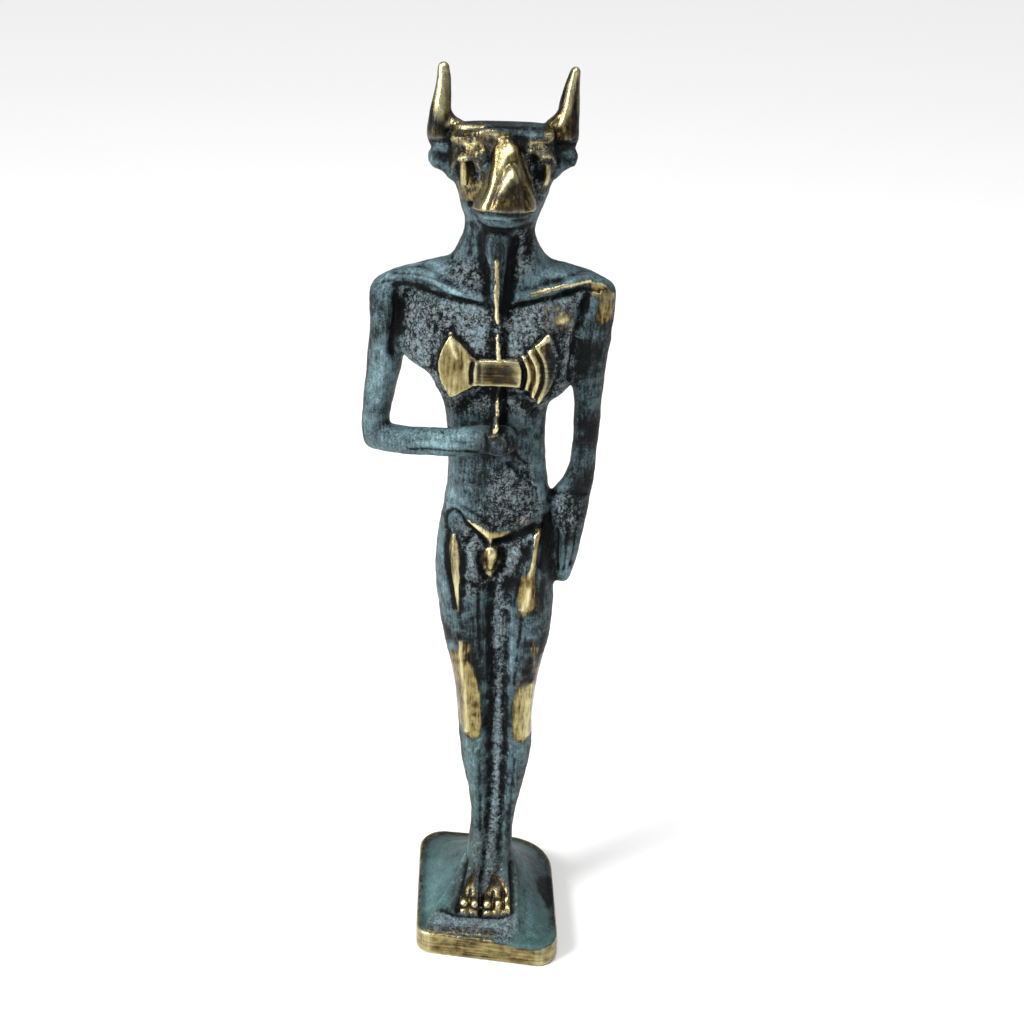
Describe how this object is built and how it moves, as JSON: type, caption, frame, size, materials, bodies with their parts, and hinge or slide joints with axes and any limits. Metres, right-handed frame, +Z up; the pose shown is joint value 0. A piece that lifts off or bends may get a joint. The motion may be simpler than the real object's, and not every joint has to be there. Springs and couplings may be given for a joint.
{
  "type": "minotaur statuette",
  "caption": "Small patinated bronze statuette of a standing bull-headed man who holds a double axe to the chest, cast in one with a low rounded plinth.",
  "frame": {"origin": "centre of the plinth's flat underside", "axes": "+Z up along the figure, -Y the way that the figure faces, +X towards the figure's left hand"},
  "size_m": [0.0443, 0.0367, 0.1704],
  "materials": {
    "patinated_bronze": "blue-green patina with rubbed high points"
  },
  "bodies": {
    "root": {"minotaur_statuette": "patinated_bronze"}
  },
  "joints": []
}
